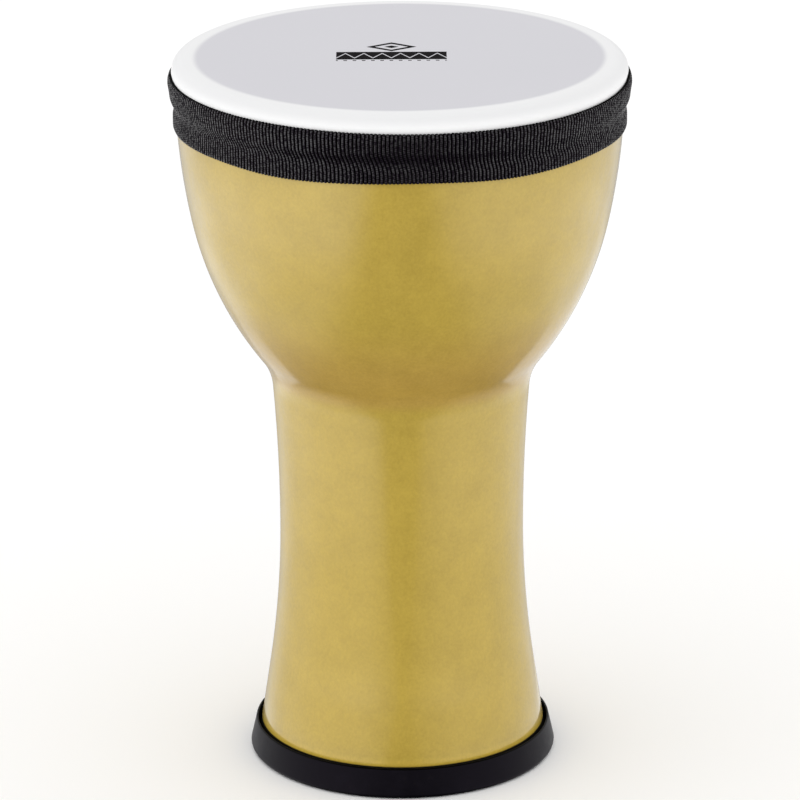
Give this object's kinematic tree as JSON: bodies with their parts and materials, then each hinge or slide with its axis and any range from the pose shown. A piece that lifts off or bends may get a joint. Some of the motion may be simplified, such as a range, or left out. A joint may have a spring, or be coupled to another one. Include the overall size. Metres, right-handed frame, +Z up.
{
  "type": "djembe",
  "caption": "Pre-tuned goblet hand drum with a moulded gold shell, a white film head on a hoop, a black webbing belt and a rubber foot ring; hollow and open at the foot.",
  "frame": {"origin": "centre of the foot ring's underside, on the floor, on the drum's axis", "axes": "+Z up the drum's axis to the playing face; the drum is round, the webbing's overlap faces +Y and the printed ornament reads from -Y"},
  "size_m": [0.1804, 0.1804, 0.2865],
  "materials": {
    "shell_lacquer": "moulded plastic with satin champagne-gold metallic lacquer",
    "ring_plastic": "plain white moulded plastic",
    "head_film": "smooth translucent white film, soft sheen",
    "hoop_steel": "plain zinc-plated strip",
    "belt_webbing": "ribbed woven black webbing",
    "foot_rubber": "smooth satin black rubber"
  },
  "bodies": {
    "root": {"shell": "shell_lacquer", "bearing_ring": "ring_plastic", "drumhead": "head_film", "flesh_hoop": "hoop_steel", "belt": "belt_webbing", "foot_ring": "foot_rubber"}
  },
  "joints": []
}
